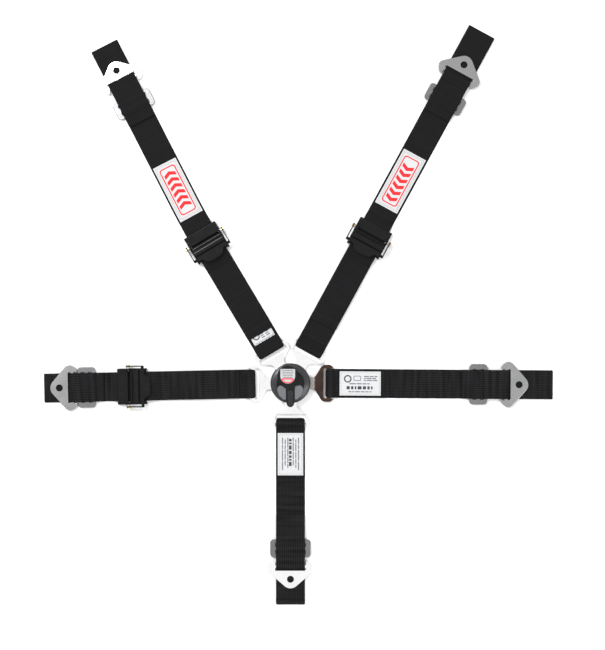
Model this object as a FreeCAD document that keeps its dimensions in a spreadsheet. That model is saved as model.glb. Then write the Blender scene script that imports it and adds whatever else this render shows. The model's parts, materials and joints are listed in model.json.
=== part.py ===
"""Five-point racing harness, lying flat on the floor: a round camlock buckle in the middle, with
two shoulder straps, two lap straps and a crotch strap, each ending in a slide and a bolt-in bracket.

The frame is in millimetres. Z is up and z = 0 is the floor. The origin is the centre of the
buckle's back face, +X is the right lap strap and -Y is the crotch strap.
Each strap has a local frame: x runs outward from the buckle's centre, y across the strap, z up.
"""
import FreeCAD, Part
import math
import os

import Sketcher

DOC = FreeCAD.newDocument("racing_harness")
V = FreeCAD.Vector
Z_AXIS = V(0, 0, 1)

SIZES = {
    # webbing
    "WebWidth": 50.0,
    "WebThickness": 1.4,
    "WebGap": 0.3,
    "TailEnd": 165.0,
    "TailHeight": 4.5,
    "HemLength": 85.0,
    "SeamHeight": 10.7,
    # buckle, from the floor up
    "BuckleRadius": 34.5,
    "PlateRadius": 33.0,
    "PlateTop": 2.2,
    "TunnelFloor": 3.5,
    "TunnelRoof": 7.1,
    "TunnelWidth": 21.6,
    "ChamberRadius": 20.0,
    "DeckTop": 10.0,
    "CoverTop": 24.0,
    "PostRadius": 4.95,
    "HubBore": 5.0,
    "HubRadius": 9.0,
    "HandleBottom": 24.6,
    "HandleRadius": 24.0,
    "HandleTop": 31.0,
    "StalkReach": 40.5,
    "StalkWidth": 13.0,
    "StalkHeight": 4.5,
    "InsertRadius": 9.5,
    "CoverOpening": 17.5,
    "CoverWall": 2.0,
    "PostTop": 23.5,
    "CamBottom": 12.0,
    "CamThickness": 2.5,
    "CamLobe": 1.4,
    "CamRadius": 19.0,
    "SpringRadius": 13.5,
    "SpringWire": 1.5,
    "SpringBottom": 16.2,
    "SpringHeight": 2.5,
    "ScrewCircle": 29.0,
    "ScrewHoleRadius": 1.7,
    "ScrewHeadRadius": 3.0,
    "ScrewHeadTop": 1.4,
    "ScrewTip": 9.0,
    "PlugRadius": 2.5,
    "PinCircle": 24.0,
    "PinRadius": 2.0,
    "PinHoleRadius": 2.3,
    "PinBottom": 5.6,
    "PinTop": 13.0,
    "PinHeadRadius": 3.0,
    "PinHeadHeight": 1.5,
    "PinSpringRadius": 2.6,
    "PinSpringLength": 5.8,
    # tongues
    "TongueBottom": 3.8,
    "TongueThickness": 3.0,
    "TongueNeck": 20.9,
    "TongueWidth": 64.0,
    "TongueBar": 65.5,
    "TongueBarWidth": 6.4,
    "TongueLoop": 4.6,
    # adjusters, measured from the cam barrel
    "FrameWidth": 62.0,
    "FrameWall": 3.0,
    "FixedBarBack": 14.0,
    "FixedBarRadius": 3.0,
    "FixedBarHeight": 4.7,
    "LockBarForward": 8.0,
    "LockBarRadius": 4.0,
    "LockBarHeight": 9.5,
    "BarrelRadius": 6.9,
    "BarrelLength": 57.0,
    "BarrelHeight": 19.0,
    "LeverWidth": 72.0,
    "ArmThickness": 2.0,
    "TabHeight": 17.5,
    "TabThickness": 3.0,
    "RivetForward": 14.0,
    "RivetHeight": 12.0,
    "RivetRadius": 2.0,
    # three-bar slides
    "SlideWidth": 70.0,
    "SlideLength": 31.0,
    "SlideBottom": 3.4,
    "SlideThickness": 2.5,
    "SlideCentreBar": 7.0,
    "SlideSlot": 6.0,
    # bolt-in brackets, measured from the bar that the strap goes round
    "BracketBottom": 4.2,
    "BracketThickness": 3.2,
    "BracketBar": 5.0,
    "BracketSlot": 4.5,
    "BoltForward": 22.0,
    "BoltHoleRadius": 6.0,
    "LabelThickness": 0.4,
}

# Distances along each strap from the buckle's centre: the cam barrel, the end of the pull tail, the
# fold before the slide, the slide, the bracket's bar and the outer end; the strap's direction in
# degrees; and the place and size of the slight bend where the strap lies askew.
STRAPS = {
    "shoulder_left": {"Angle": 120.8, "Barrel": 274.6, "Tail": 99.5, "Fold": 520.0, "Slide": 553.0,
                      "Bar": 595.8, "End": 666.4, "BendAt": 330.0, "Bend": -3.68},
    "shoulder_right": {"Angle": 61.4, "Barrel": 277.7, "Tail": 115.5, "Fold": 526.5, "Slide": 558.0,
                       "Bar": 603.8, "End": 692.0},
    "lap_left": {"Angle": 181.2, "Barrel": 265.6, "Tail": 88.0, "Fold": 322.0, "Slide": 352.0,
                 "Bar": 377.0, "End": 426.0},
    "lap_right": {"Angle": -0.4, "Fold": 294.5, "Slide": 324.5, "Bar": 372.8, "End": 453.6},
    "crotch": {"Angle": 270.0, "Fold": 226.6, "Slide": 285.5, "Bar": 316.6, "End": 383.0},
}
ADJUSTED = [name for name in STRAPS if "Barrel" in STRAPS[name]]
REMOVABLE = ["shoulder_left", "shoulder_right", "lap_left", "crotch"]
SCREW_ANGLES = [30.5, 150.8, 225.0, 315.0]


def alias_of(strap, key):
    """The spreadsheet's word for one strap's value, such as LapLeftBarrel."""
    return "".join(word.title() for word in strap.split("_")) + key


def make_sheet():
    """The spreadsheet that holds the driving dimensions."""
    sheet = DOC.addObject("Spreadsheet::Sheet", "Sizes")
    cells = dict(SIZES)
    for strap, values in STRAPS.items():
        for key, value in values.items():
            cells[alias_of(strap, key)] = value
    for row, (alias, value) in enumerate(cells.items(), start=1):
        sheet.set(f"A{row}", alias)
        sheet.set(f"B{row}", str(value))
        sheet.setAlias(f"B{row}", alias)
    DOC.recompute()
    return sheet


SHEET = make_sheet()


def size(alias):
    """One driving dimension, read from the spreadsheet."""
    return float(SHEET.get(alias))


def along(strap, key):
    """One distance or angle of a strap, read from the spreadsheet."""
    return size(alias_of(strap, key))


WEB = size("WebThickness")
# heights of a strap's middle surface when it lies first, second or third on the floor
FIRST = WEB / 2
LAYER = WEB + size("WebGap")
SECOND = FIRST + LAYER


def turned(degrees, base=V(0, 0, 0)):
    """A placement at base, turned about the vertical."""
    return FreeCAD.Placement(base, FreeCAD.Rotation(Z_AXIS, degrees))


def inner_frame(strap):
    """The frame of a strap between the buckle and its bend."""
    return turned(along(strap, "Angle"))


def bend_frame(strap):
    """The turn of the strap's outer part within its inner frame."""
    if "Bend" not in STRAPS[strap]:
        return FreeCAD.Placement()
    bend_at = V(along(strap, "BendAt"), 0, 0)
    turn = FreeCAD.Rotation(Z_AXIS, along(strap, "Bend"))
    return FreeCAD.Placement(bend_at - turn.multVec(bend_at), turn)


def outer_frame(strap, distance=0.0):
    """The frame of a strap beyond its bend, moved out along the strap."""
    shift = FreeCAD.Placement(V(distance, 0, 0), FreeCAD.Rotation())
    return inner_frame(strap).multiply(bend_frame(strap)).multiply(shift)


def adjuster_frame(strap):
    """The frame of a strap's adjuster, with its origin under the cam barrel."""
    shift = FreeCAD.Placement(V(along(strap, "Barrel"), 0, 0), FreeCAD.Rotation())
    return inner_frame(strap).multiply(shift)


# ---- outlines: straight runs joined by tangent arcs ----


def rounded_corner(before, corner, after, radius):
    """The arc that rounds a corner, as its start, middle, end and centre, or None for a sharp one."""
    if radius <= 0:
        return None
    back = (before - corner).normalize()
    ahead = (after - corner).normalize()
    half = back.getAngle(ahead) / 2
    centre = corner + (back + ahead).normalize() * (radius / math.sin(half))
    reach = radius / math.tan(half)
    middle = centre + (corner - centre).normalize() * radius
    return corner + back * reach, middle, corner + ahead * reach, centre


def edges_between(points):
    """Lines and arcs through (x, y, radius) corners; the first and last points are ends."""
    spots = [V(point[0], point[1], 0) for point in points]
    edges = []
    at = spots[0]
    for index in range(1, len(points) - 1):
        radius = points[index][2] if len(points[index]) > 2 else 0
        arc = rounded_corner(spots[index - 1], spots[index], spots[index + 1], radius)
        if arc is None:
            edges.append((at, spots[index]))
            at = spots[index]
            continue
        edges.append((at, arc[0]))
        edges.append(arc)
        at = arc[2]
    edges.append((at, spots[-1]))
    return [edge for edge in edges if (edge[0] - edge[-2 if len(edge) == 4 else -1]).Length > 1e-6]


def offset_edge(edge, distance):
    """A line or arc moved to the left of its direction by distance."""
    if len(edge) == 2:
        run = (edge[1] - edge[0]).normalize()
        shift = V(-run.y, run.x, 0) * distance
        return edge[0] + shift, edge[1] + shift
    start, middle, end, centre = edge
    turns_left = (middle - start).cross(end - middle).z > 0
    radius = (start - centre).Length
    scale = (radius - distance) / radius if turns_left else (radius + distance) / radius
    return tuple(centre + (spot - centre) * scale for spot in (start, middle, end)) + (centre,)


def reverse_edge(edge):
    """The same line or arc, run the other way."""
    if len(edge) == 2:
        return edge[1], edge[0]
    return edge[2], edge[1], edge[0], edge[3]


def as_geometry(edges):
    """Sketch geometry of lines and arcs."""
    return [
        Part.LineSegment(*edge) if len(edge) == 2 else Part.ArcOfCircle(*edge[:3])
        for edge in edges
    ]


def closed_outline(corners):
    """Sketch geometry of a closed outline through (x, y, radius) corners."""
    first, last = corners[0], corners[-1]
    middle = ((first[0] + last[0]) / 2, (first[1] + last[1]) / 2)
    return as_geometry(edges_between([middle] + list(corners) + [middle]))


def ribbon_outline(route, thickness=WEB):
    """Sketch geometry of a strip of even thickness whose middle follows the route."""
    edges = edges_between(route)
    left = [offset_edge(edge, thickness / 2) for edge in edges]
    right = [reverse_edge(offset_edge(edge, -thickness / 2)) for edge in reversed(edges)]
    far_end = (left[-1][-2 if len(left[-1]) == 4 else -1], right[0][0])
    near_end = (right[-1][-2 if len(right[-1]) == 4 else -1], left[0][0])
    return as_geometry(left + [far_end] + right + [near_end])


def mirrored(corners):
    """Corners on the +y side, followed by their mirror images back to the start."""
    return list(corners) + [(x, -y, r) for x, y, r in reversed(corners) if y > 0]


def box_corners(x_low, x_high, y_half, radius):
    """Corners of a rectangle that is centred on the x axis."""
    return [
        (x_low, y_half, radius),
        (x_high, y_half, radius),
        (x_high, -y_half, radius),
        (x_low, -y_half, radius),
    ]


# ---- features ----


def new_body(label, placement=None):
    """An empty PartDesign body in its place."""
    body = DOC.addObject("PartDesign::Body", label)
    body.Label = label
    if placement is not None:
        body.Placement = placement
    return body


def sketch_on(body, role, geometry, offset=None):
    """A sketch on one of the body's origin planes, moved by a placement or along its normal."""
    sketch = body.newObject("Sketcher::SketchObject", body.Label + "_sketch")
    plane = next(item for item in body.Origin.OriginFeatures if item.Role == role)
    sketch.AttachmentSupport = [(plane, "")]
    sketch.MapMode = "FlatFace"
    if isinstance(offset, str):
        sketch.setExpression("AttachmentOffset.Base.z", offset)
    elif offset is not None:
        sketch.AttachmentOffset = offset
    sketch.addGeometry(geometry, False)
    return sketch


def circle_in(sketch, x, y, radius):
    """A circle whose radius is bound to an expression on the spreadsheet."""
    rough = float(DOC.Sizes.evalExpression(radius.replace("Sizes.", "")))
    index = sketch.addGeometry(Part.Circle(V(x, y, 0), Z_AXIS, rough), False)
    number = sketch.addConstraint(Sketcher.Constraint("Radius", index, rough))
    sketch.renameConstraint(number, f"circle_{index}")
    sketch.setExpression(f"Constraints.circle_{index}", radius)


def circles_on(body, role, circles, offset=None):
    """A sketch of (x, y, radius expression) circles."""
    sketch = sketch_on(body, role, [], offset)
    for x, y, radius in circles:
        circle_in(sketch, x, y, radius)
    return sketch


def add_feature(kind, body, sketch, length, symmetric):
    """A pad or pocket whose length is bound to an expression on the spreadsheet."""
    feature = body.newObject(f"PartDesign::{kind}", f"{body.Label}_{kind.lower()}")
    feature.Profile = sketch
    feature.setExpression("Length", length)
    feature.SideType = "Symmetric" if symmetric else "One side"
    sketch.Visibility = False
    return feature


def pad(body, sketch, length, symmetric=False):
    """Material added along the sketch's normal."""
    return add_feature("Pad", body, sketch, length, symmetric)


def pocket(body, sketch, length):
    """Material taken away on both sides of the sketch; a pocket that misses is an error."""
    DOC.recompute()
    before = body.Shape.Volume
    feature = add_feature("Pocket", body, sketch, length, True)
    DOC.recompute()
    if body.Shape.Volume > before - 1e-3:
        raise RuntimeError(f"{feature.Label} cuts nothing")
    return feature


def revolve(body, sketch):
    """A full turn of a sketch on the XZ plane about the vertical."""
    feature = body.newObject("PartDesign::Revolution", body.Label + "_revolution")
    feature.Profile = sketch
    feature.ReferenceAxis = (sketch, ["V_Axis"])
    feature.Angle = 360
    return feature


def soften(body, height, radius):
    """A fillet round the flat face at a height, so that a stamped piece has no sharp edge."""
    DOC.recompute()
    solid = body.Tip
    flat = [
        f"Face{number}"
        for number, face in enumerate(solid.Shape.Faces, start=1)
        if face.BoundBox.ZLength < 1e-3 and abs(face.BoundBox.ZMin - height) < 1e-3
    ]
    fillet = body.newObject("PartDesign::Fillet", body.Label + "_fillet")
    fillet.Base = (solid, flat)
    fillet.Radius = radius
    return fillet


def cylinder(name, radius, length, placement):
    """A Part cylinder whose radius and height are bound to expressions on the spreadsheet."""
    solid = DOC.addObject("Part::Cylinder", name)
    solid.setExpression("Radius", radius)
    solid.setExpression("Height", length)
    solid.Placement = placement
    return solid


def across(x, z, start):
    """The placement of a cylinder that runs across a strap, along +y from start."""
    return FreeCAD.Placement(V(x, start, z), FreeCAD.Rotation(V(1, 0, 0), -90))


def combine(kind, label, shapes):
    """A fusion, a cut or a group of Part solids."""
    result = DOC.addObject(kind, label)
    result.Label = label
    if kind == "Part::Cut":
        result.Base, result.Tool = shapes
    elif kind == "Part::Compound":
        result.Links = shapes
    else:
        result.Shapes = shapes
    return result


# ---- the buckle ----


def polar(radius, degrees, height=0.0):
    """A point at a radius and direction from the buckle's centre."""
    angle = math.radians(degrees)
    return V(radius * math.cos(angle), radius * math.sin(angle), height)


def upright(radius, degrees, height):
    """The placement of an upright cylinder that stands at a point of the buckle."""
    return FreeCAD.Placement(polar(radius, degrees, height), FreeCAD.Rotation())


def make_back_plate():
    """The round plate that lies against the driver, with countersunk screw seats."""
    body = new_body("buckle_back_plate")
    pad(body, circles_on(body, "XY_Plane", [(0, 0, "Sizes.PlateRadius")]), "Sizes.PlateTop")
    spots = [polar(size("ScrewCircle"), angle) for angle in SCREW_ANGLES]
    holes = [(spot.x, spot.y, "Sizes.ScrewHoleRadius") for spot in spots]
    seats = [(spot.x, spot.y, "Sizes.ScrewHeadRadius + 0.2") for spot in spots]
    pocket(body, circles_on(body, "XY_Plane", holes), "4 * Sizes.PlateTop")
    pocket(body, circles_on(body, "XY_Plane", seats), "2 * Sizes.ScrewHeadTop + 0.2")
    return body


def make_buckle_body():
    """The housing, with a tunnel for each tongue, a chamber in the middle and the pins' holes."""
    floor = size("TunnelFloor")
    block = cylinder("housing_block", "Sizes.BuckleRadius - 0.5", "Sizes.DeckTop - Sizes.PlateTop",
                     upright(0, 0, size("PlateTop")))
    tools = [
        cylinder("chamber", "Sizes.ChamberRadius", "Sizes.TunnelRoof - Sizes.TunnelFloor",
                 upright(0, 0, floor)),
        cylinder("post_hole", "Sizes.PostRadius + 0.25", "Sizes.DeckTop", upright(0, 0, 0)),
    ]
    for strap in STRAPS:
        tunnel = DOC.addObject("Part::Box", "tunnel")
        tunnel.setExpression("Length", "Sizes.BuckleRadius")
        tunnel.setExpression("Width", "Sizes.TunnelWidth")
        tunnel.setExpression("Height", "Sizes.TunnelRoof - Sizes.TunnelFloor")
        corner = V(size("ChamberRadius") / 2, -size("TunnelWidth") / 2, floor)
        shift = FreeCAD.Placement(corner, FreeCAD.Rotation())
        tunnel.Placement = inner_frame(strap).multiply(shift)
        tools.append(tunnel)
    for strap in STRAPS:
        place = upright(size("PinCircle"), along(strap, "Angle"), floor)
        radius = "Sizes.PinHoleRadius" if strap in REMOVABLE else "Sizes.PlugRadius + 0.05"
        tools.append(cylinder("pin_hole", radius, "Sizes.DeckTop", place))
    for angle in SCREW_ANGLES:
        place = upright(size("ScrewCircle"), angle, 0)
        tools.append(cylinder("screw_hole", "Sizes.ScrewHoleRadius", "Sizes.ScrewTip + 0.3", place))
    return combine("Part::Cut", "buckle_body", [block, combine("Part::MultiFuse", "hollows", tools)])


def make_cover():
    """The domed cover over the pins and the cam, open in the middle for the handle's hub."""
    body = new_body("buckle_cover")
    rim, deck, top = size("BuckleRadius"), size("DeckTop"), size("CoverTop")
    opening = size("CoverOpening")
    wall = size("CoverWall")
    profile = [
        (rim, deck, 0),
        (rim, deck + 7, 3),
        (rim - 6.5, top - 1.5, 8),
        (opening, top, 0.5),
        (opening, top - wall, 0.5),
        (rim - 7.3, top - 1.3 - wall, 7),
        (rim - wall, deck + 6.2, 2.5),
        (rim - wall, deck, 0),
    ]
    revolve(body, sketch_on(body, "XZ_Plane", closed_outline(profile)))
    return body


def make_center_post():
    """The post that the handle turns on."""
    post = cylinder("center_post", "Sizes.PostRadius", "Sizes.PostTop - Sizes.PlateTop",
                    upright(0, 0, size("PlateTop")))
    return post


def make_screws():
    """The four screws that hold the housing to the back plate."""
    screws = []
    for angle in SCREW_ANGLES:
        head = cylinder("screw_head", "Sizes.ScrewHeadRadius", "Sizes.ScrewHeadTop - 0.2",
                        upright(size("ScrewCircle"), angle, 0.2))
        shank = cylinder("screw_shank", "Sizes.ScrewHoleRadius - 0.1", "Sizes.ScrewTip - 0.2",
                         upright(size("ScrewCircle"), angle, 0.2))
        screws.append(combine("Part::MultiFuse", "screw", [head, shank]))
    return combine("Part::Compound", "cover_screws", screws)


def make_handle():
    """The rotary release handle: a hub on the post, a dome and a finger stalk."""
    body = new_body("release_handle")
    bore, hub, reach = size("HubBore"), size("HubRadius"), size("HandleRadius")
    low, top = size("HandleBottom"), size("HandleTop")
    profile = [
        (bore, 11, 0),
        (hub, 11, 0),
        (hub, low, 0),
        (reach, low, 0),
        (reach, low + 2.4, 1.5),
        (reach / 2, top, 6),
        (0, top, 0),
        (0, size("PostTop") + 0.5, 0),
        (bore, size("PostTop") + 0.5, 0),
    ]
    revolve(body, sketch_on(body, "XZ_Plane", closed_outline(profile)))
    half, tip = size("StalkWidth") / 2, -size("StalkReach")
    stalk = [(-half, -5, 0), (half, -5, 0), (half, tip, half - 0.1), (-half, tip, half - 0.1)]
    pad(body, sketch_on(body, "XY_Plane", closed_outline(stalk), "Sizes.HandleBottom"), "Sizes.StalkHeight")
    return body


def make_handle_insert():
    """The round badge on the handle's boss."""
    body = new_body("handle_insert")
    pad(body, circles_on(body, "XY_Plane", [(0, 0, "Sizes.InsertRadius")], "Sizes.HandleTop"),
        "Sizes.LabelThickness")
    return body


def make_cam_ring():
    """The ring on the handle's hub whose four lobes lift the lock pins."""
    body = new_body("cam_ring")
    ring = circles_on(body, "XY_Plane", [(0, 0, "Sizes.HubRadius + 0.3"), (0, 0, "Sizes.CamRadius")],
                      "Sizes.CamBottom")
    pad(body, ring, "Sizes.CamThickness")
    lobe_sketch = sketch_on(body, "XY_Plane", closed_outline(box_corners(12, 18, 2.5, 1)),
                            "Sizes.CamBottom + Sizes.CamThickness")
    lobe = pad(body, lobe_sketch, "Sizes.CamLobe")
    lobes = body.newObject("PartDesign::PolarPattern", "cam_lobes")
    lobes.Originals = [lobe]
    lobes.Axis = (lobe_sketch, ["N_Axis"])
    lobes.Angle = 360
    lobes.Occurrences = 4
    body.Tip = lobes
    return body


def make_return_spring():
    """The open spring ring that turns the handle back."""
    body = new_body("return_spring")
    inner, outer = size("SpringRadius"), size("SpringRadius") + size("SpringWire")
    start, end = math.radians(20), math.radians(330)
    arcs = [Part.ArcOfCircle(Part.Circle(V(0, 0, 0), Z_AXIS, r), start, end) for r in (inner, outer)]
    ends = [
        Part.LineSegment(V(inner * math.cos(a), inner * math.sin(a), 0),
                         V(outer * math.cos(a), outer * math.sin(a), 0))
        for a in (start, end)
    ]
    pad(body, sketch_on(body, "XY_Plane", arcs + ends, "Sizes.SpringBottom"), "Sizes.SpringHeight")
    return body


def make_lock_pins():
    """The four headed pins that drop into the windows of the removable tongues."""
    pins = []
    for strap in REMOVABLE:
        angle = along(strap, "Angle")
        shank = cylinder("pin_shank", "Sizes.PinRadius", "Sizes.PinTop - Sizes.PinBottom",
                         upright(size("PinCircle"), angle, size("PinBottom")))
        head = cylinder("pin_head", "Sizes.PinHeadRadius", "Sizes.PinHeadHeight",
                        upright(size("PinCircle"), angle, size("PinTop") - size("PinHeadHeight")))
        pins.append(combine("Part::MultiFuse", "pin", [shank, head]))
    return combine("Part::Compound", "lock_pins", pins)


def make_tube(name, outer, inner, length, placement):
    """A closely wound coil, as the tube that it fills."""
    outside = cylinder(name + "_outside", outer, length, placement)
    inside = cylinder(name + "_inside", inner, length, placement)
    return combine("Part::Cut", name, [outside, inside])


def make_pin_springs():
    """The coils that push the lock pins down."""
    coils = []
    for strap in REMOVABLE:
        place = upright(size("PinCircle"), along(strap, "Angle"), size("PinTop") + 0.1)
        coils.append(make_tube("pin_spring", "Sizes.PinSpringRadius", "Sizes.PinSpringRadius - 0.8",
                               "Sizes.PinSpringLength", place))
    return combine("Part::Compound", "pin_springs", coils)


def make_rivet():
    """The plug that fixes the permanent lap tongue in the housing."""
    place = upright(size("PinCircle"), along("lap_right", "Angle"), size("TunnelFloor"))
    return cylinder("fixed_tongue_rivet", "Sizes.PlugRadius", "Sizes.DeckTop - Sizes.TunnelFloor - 0.2",
                    place)


# ---- the tongues ----


def make_tongue(label, strap):
    """A flat steel tongue: a nose with its window, a neck, and a wide head with the strap's slot."""
    fixed = strap not in REMOVABLE
    body = new_body(label, inner_frame(strap))
    neck, half = size("TongueNeck") / 2, size("TongueWidth") / 2
    bar_half = size("TongueBarWidth") / 2
    bar = size("TongueBar")
    outline = mirrored([
        (12.5, 6.0, 2),
        (21.0, neck, 3),
        (42.0, neck, 8),
        (55.0, half, 9),
        (bar + 3.5, half, 6),
        (bar + 8, half - 4, 1),
        (bar + 8, half - 5.7, 0.8),
        (bar + bar_half, half - 5.7, 1),
    ])
    pad(body, sketch_on(body, "XY_Plane", closed_outline(outline), "Sizes.TongueBottom"),
        "Sizes.TongueThickness")
    slot_start = bar - (8.5 if fixed else 11.5)
    slot = box_corners(slot_start, bar - bar_half, size("WebWidth") / 2 + 1, 2)
    pocket(body, sketch_on(body, "XY_Plane", closed_outline(slot), "Sizes.TongueBottom"), "20 mm")
    if fixed:
        hole = [(size("PinCircle"), 0, "Sizes.PlugRadius + 0.05")]
        pocket(body, circles_on(body, "XY_Plane", hole, "Sizes.TongueBottom"), "20 mm")
    else:
        window = box_corners(16.0, size("PinCircle") + size("PinHoleRadius"), 2.4, 1.5)
        pocket(body, sketch_on(body, "XY_Plane", closed_outline(window), "Sizes.TongueBottom"), "20 mm")
    soften(body, size("TongueBottom") + size("TongueThickness"), 0.6)
    return body


# ---- the straps; each route is a list of (x, z, radius) corners of the strap's middle surface ----


def tongue_loop(tail_end):
    """From the sewn-back tail, over the tongue's bar and back under it to the floor."""
    bar, turn = size("TongueBar"), size("TongueLoop")
    return [
        (tail_end, SECOND),
        (bar + 18.5, SECOND, 8),
        (bar + 3, FIRST + 2 * turn, 3),
        (bar - turn, FIRST + 2 * turn, turn),
        (bar - turn, FIRST, turn),
    ]


def mounting_end(strap):
    """Through the slide, round the bracket's bar and back into the slide.

    The strap goes over the slide's middle bar and out to a fold, comes back in through the
    bracket's slot and over its bar, passes over the whole slide to a fold on its inner side, and
    goes once more over the middle bar, where its free end is held.
    """
    slide, bar = along(strap, "Slide"), along(strap, "Bar")
    fold, end = along(strap, "Fold"), along(strap, "End")
    near = size("SlideCentreBar") / 2 + 1
    over = size("SlideBottom") + size("SlideThickness") + 1
    return [
        (slide - near, FIRST, 1.2),
        (slide - near, over, 1.2),
        (slide + near, over, 1.2),
        (slide + near, FIRST, 1.2),
        (end - FIRST, FIRST, 1.2),
        (end - FIRST, FIRST + 2.4, 1.2),
        (bar + 4.7, FIRST + 2.4, 1.2),
        (bar + 4.7, over + 2 * LAYER, 4),
        (slide - near - 3, over + 2 * LAYER, 8),
        (fold + 8, SECOND + 2.6, 10),
        (fold + FIRST, SECOND + 2.6, 1.3),
        (fold + FIRST, SECOND, 1.3),
        (slide - near - LAYER, SECOND, 1.2),
        (slide - near - LAYER, over + LAYER, 1.5),
        (slide + near + LAYER, over + LAYER, 1.5),
        (slide + near + LAYER, SECOND, 1.2),
        (slide + near + LAYER + 12.8, SECOND),
    ]


def add_ribbon(body, route, offset=None):
    """One run of webbing along a route."""
    pad(body, sketch_on(body, "XZ_Plane", ribbon_outline(route), offset), "Sizes.WebWidth", True)


def make_plain_strap(label, strap):
    """A strap without an adjuster, in one piece from the tongue to the mounting end."""
    body = new_body(label, inner_frame(strap))
    add_ribbon(body, tongue_loop(size("TailEnd")) + mounting_end(strap))
    return body


def make_lower_web(label, strap):
    """The short strap between the tongue and the adjuster, sewn back at both ends."""
    body = new_body(label, inner_frame(strap))
    bar = along(strap, "Barrel") - size("FixedBarBack")
    turn = size("FixedBarRadius") + 1
    add_ribbon(body, tongue_loop(size("TailEnd")) + [
        (bar + turn, FIRST, turn),
        (bar + turn, FIRST + 2 * turn, turn),
        (bar - 4, FIRST + 2 * turn, 3),
        (bar - 18, SECOND, 8),
        (along(strap, "Barrel") - 84, SECOND),
    ])
    return body


def make_pull_tail(label, strap):
    """The tail that is pulled to tighten the strap, hemmed at its end."""
    body = new_body(label, inner_frame(strap))
    barrel, end = along(strap, "Barrel"), along(strap, "Tail")
    low, high = size("TailHeight"), size("TailHeight") + LAYER
    add_ribbon(body, [
        (end + size("HemLength"), low),
        (end + FIRST, low, 0.85),
        (end + FIRST, high, 0.85),
        (end + size("HemLength") + 5, high, 8),
        (end + size("HemLength") + 15, low, 8),
        (barrel - 40, low, 10),
        (barrel - 22, size("SeamHeight"), 8),
        (barrel - 4, size("SeamHeight")),
    ])
    return body


def make_upper_web(label, strap):
    """The long strap from the adjuster's lock bar to the mounting end."""
    body = new_body(label, inner_frame(strap))
    barrel = along(strap, "Barrel")
    under = size("LockBarHeight") - size("LockBarRadius") - 1
    start = [
        (barrel - 3, size("SeamHeight")),
        (barrel - 0.27, size("SeamHeight"), 4),
        (barrel + 5.93, under, 5),
        (barrel + 38, under, 8),
        (barrel + 50, FIRST, 8),
    ]
    if "Bend" not in STRAPS[strap]:
        add_ribbon(body, start + mounting_end(strap))
        return body
    # the strap lies slightly askew beyond the bend, so its two runs overlap there
    bend_at = along(strap, "BendAt")
    add_ribbon(body, start + [(bend_at + 1.6, FIRST)])
    add_ribbon(body, [(bend_at - 1.6, FIRST)] + mounting_end(strap), bend_in_sketch(strap))
    return body


def bend_in_sketch(strap):
    """The strap's bend, as the attachment offset of a sketch on the XZ plane."""
    upright_plane = FreeCAD.Placement(V(0, 0, 0), FreeCAD.Rotation(V(1, 0, 0), 90))
    return upright_plane.inverse().multiply(bend_frame(strap)).multiply(upright_plane)


def make_label(label, frame, start, end, width, height):
    """A thin label sewn on top of a strap."""
    body = new_body(label, frame)
    outline = closed_outline(box_corners(start, end, width / 2, 2))
    sketch = sketch_on(body, "XY_Plane", outline, turned(0, V(0, 0, height + 0.05)))
    pad(body, sketch, "Sizes.LabelThickness")
    return body


# ---- the adjusters ----


def side_offsets(outer):
    """Offsets on the XZ plane, whose normal is -y, of two layers that end at outer each side."""
    return [turned(0, V(0, 0, -outer[1])), turned(0, V(0, 0, outer[0]))]


def make_adjuster_frame(label, strap):
    """The adjuster's frame: two side walls and the fixed bar, and a cross bar and a hood at the outer end.

    The strap leaves between the cross bar, under it, and the hood, over it.
    """
    body = new_body(label, adjuster_frame(strap))
    back, height = -size("FixedBarBack"), size("FixedBarHeight")
    half, wall = size("FrameWidth") / 2, size("FrameWall")
    pivot, rise = size("RivetForward"), size("RivetHeight")
    side = [
        (back - 4.2, 0.4, 4),
        (33, 0.4, 1),
        (33, 8.6, 1.5),
        (pivot + 6.5, 8.6, 3),
        (pivot + 4.6, rise + 4.6, 4),
        (pivot - 4.6, rise + 4.6, 4),
        (pivot - 6, 10.4, 2),
        (back - 4.2, 9, 4),
    ]
    bar = "2 * (Sizes.FrameWidth / 2 - 0.5 * Sizes.FrameWall)"
    layers = side_offsets((half - wall, half))
    pad(body, sketch_on(body, "XZ_Plane", closed_outline(side), layers[0]), "Sizes.FrameWall")
    pad(body, circles_on(body, "XZ_Plane", [(back, height, "Sizes.FixedBarRadius")]), bar, True)
    cross_bar = [(29, 0.4, 1), (33, 0.4, 1), (33, 3.4, 1), (29, 3.4, 1)]
    pad(body, sketch_on(body, "XZ_Plane", closed_outline(cross_bar)), bar, True)
    hood = [(14.5, 6.6, 0.8), (33, 6.6, 0.8), (33, 8.6, 0.8), (14.5, 8.6, 0.8)]
    pad(body, sketch_on(body, "XZ_Plane", closed_outline(hood)), bar, True)
    pad(body, sketch_on(body, "XZ_Plane", closed_outline(side), layers[1]), "Sizes.FrameWall")
    pocket(body, circles_on(body, "XZ_Plane", [(pivot, rise, "Sizes.RivetRadius")]), "100 mm")
    return body


def make_lock_bar(label, strap):
    """The round bar in the frame that the strap passes under."""
    half = size("FrameWidth") / 2 - size("FrameWall")
    place = across(size("LockBarForward"), size("LockBarHeight"), -half)
    return cylinder(label, "Sizes.LockBarRadius", "Sizes.FrameWidth - 2 * Sizes.FrameWall",
                    adjuster_frame(strap).multiply(place))


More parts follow.
